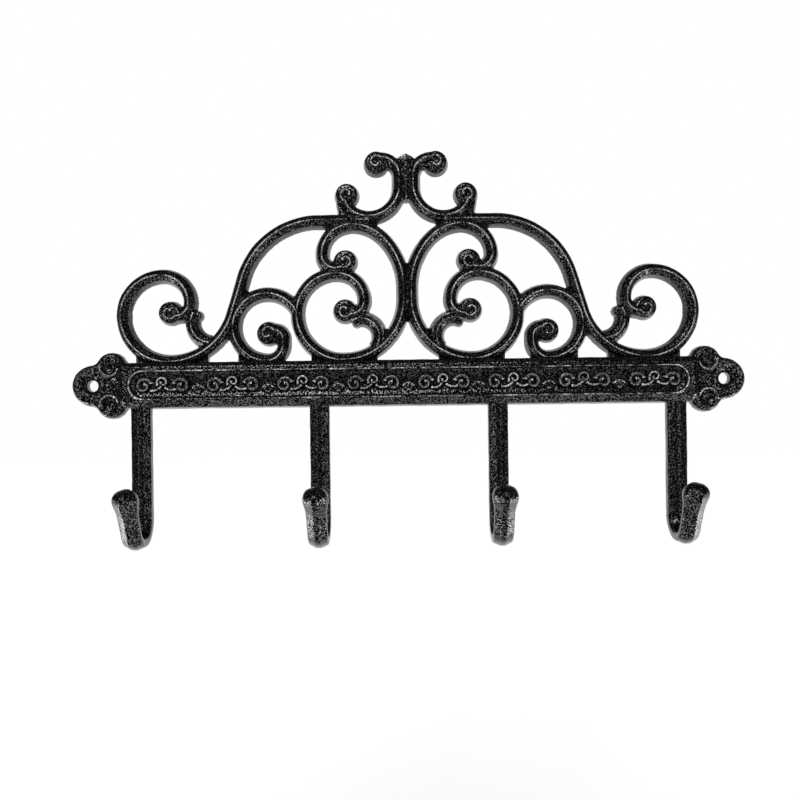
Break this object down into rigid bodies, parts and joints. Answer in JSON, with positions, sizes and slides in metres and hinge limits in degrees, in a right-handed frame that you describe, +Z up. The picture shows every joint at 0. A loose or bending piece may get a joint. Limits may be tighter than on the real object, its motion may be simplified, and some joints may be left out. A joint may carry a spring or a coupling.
{
  "type": "wall key holder",
  "caption": "Cast wall key holder: relief bar with a countersunk screw lug at each end, knobbed J hooks below and an open scrollwork crest of volutes with a finial above",
  "frame": {"origin": "on the flat back plane, midway between the two screw holes", "axes": "X along the bar to the right seen from the front, Z up, Y from the front to the wall"},
  "size_m": [0.2622, 0.0279, 0.1529],
  "materials": {
    "black_iron": "satin black paint over sand-cast iron"
  },
  "bodies": {
    "root": {"key_holder": "black_iron"}
  },
  "joints": []
}
